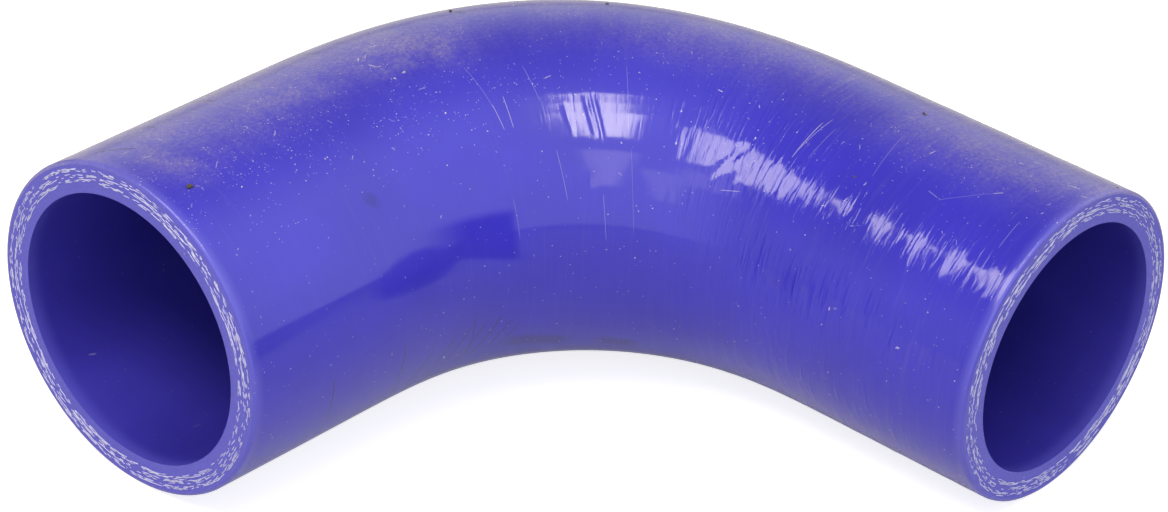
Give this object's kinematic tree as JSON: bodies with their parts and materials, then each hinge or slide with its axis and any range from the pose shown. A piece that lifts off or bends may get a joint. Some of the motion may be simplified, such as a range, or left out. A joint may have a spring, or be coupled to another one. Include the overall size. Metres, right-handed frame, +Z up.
{
  "type": "silicone elbow hose",
  "caption": "Near right-angle elbow hose of fabric-reinforced silicone rubber, blue, with short straight legs, square-cut ends and a slightly smaller bore at one end, lying on its side.",
  "frame": {"origin": "on the floor under the middle of the hose's bounding box", "axes": "+Z up, square to the plane of the bend; -X out of the large end, square to its cut; -Y out of the small end, square to its cut"},
  "size_m": [0.1266, 0.1306, 0.057],
  "materials": {
    "silicone": "glossy violet-blue silicone rubber, dusty, with white fabric plies showing in the cut ends"
  },
  "bodies": {
    "root": {"elbow_hose": "silicone"}
  },
  "joints": []
}
